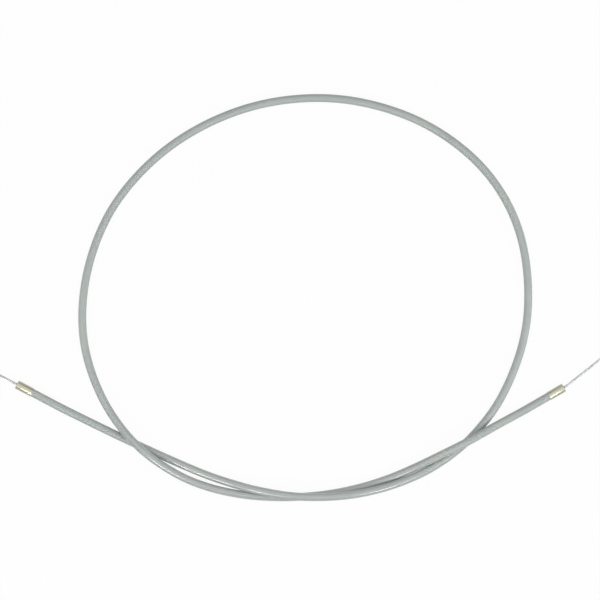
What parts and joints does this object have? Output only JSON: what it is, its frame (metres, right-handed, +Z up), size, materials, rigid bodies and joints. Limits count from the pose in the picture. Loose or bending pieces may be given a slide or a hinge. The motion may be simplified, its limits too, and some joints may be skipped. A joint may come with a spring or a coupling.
{
  "type": "bicycle brake cable",
  "caption": "Bicycle brake cable lying in a loop with crossing tails: plastic-sheathed casing with brass ferrules, and a stranded wire that slides through it and ends in a nipple.",
  "frame": {"origin": "centre of the bounding box, on the surface that the cable lies on", "axes": "+X across the loop towards the lever end with its nipple, +Y away from the crossing tails, +Z up, off the surface"},
  "size_m": [0.4574, 0.2544, 0.0103],
  "materials": {
    "sheath": "smooth extruded grey plastic, semi-gloss",
    "spiral": "plain wound spring steel",
    "liner": "off-white low-friction plastic",
    "ferrule": "bright plated brass with a pale gold tone",
    "wire": "galvanised strands, satin",
    "nipple": "cast zinc, dull grey"
  },
  "bodies": {
    "casing": {"casing_sheath": "sheath", "casing_spiral": "spiral", "casing_liner": "liner", "ferrule_lever_end": "ferrule", "ferrule_brake_end": "ferrule", "wire_core": "wire"},
    "lever_wire": {"wire_lever_end": "wire", "nipple": "nipple"},
    "brake_wire": {"wire_brake_end": "wire"}
  },
  "joints": [
    {"name": "wire_pull", "type": "slide", "parent": "casing", "child": "lever_wire", "axis": [0.8656, 0.5008, 0], "range_m": [0, 0.015]},
    {"name": "wire_retract", "type": "slide", "parent": "casing", "child": "brake_wire", "axis": [0.8838, -0.4679, 0], "range_m": [0, 0.015]}
  ],
  "couplings": [
    {"joint": "wire_retract", "follows": "wire_pull", "ratio": 1}
  ]
}
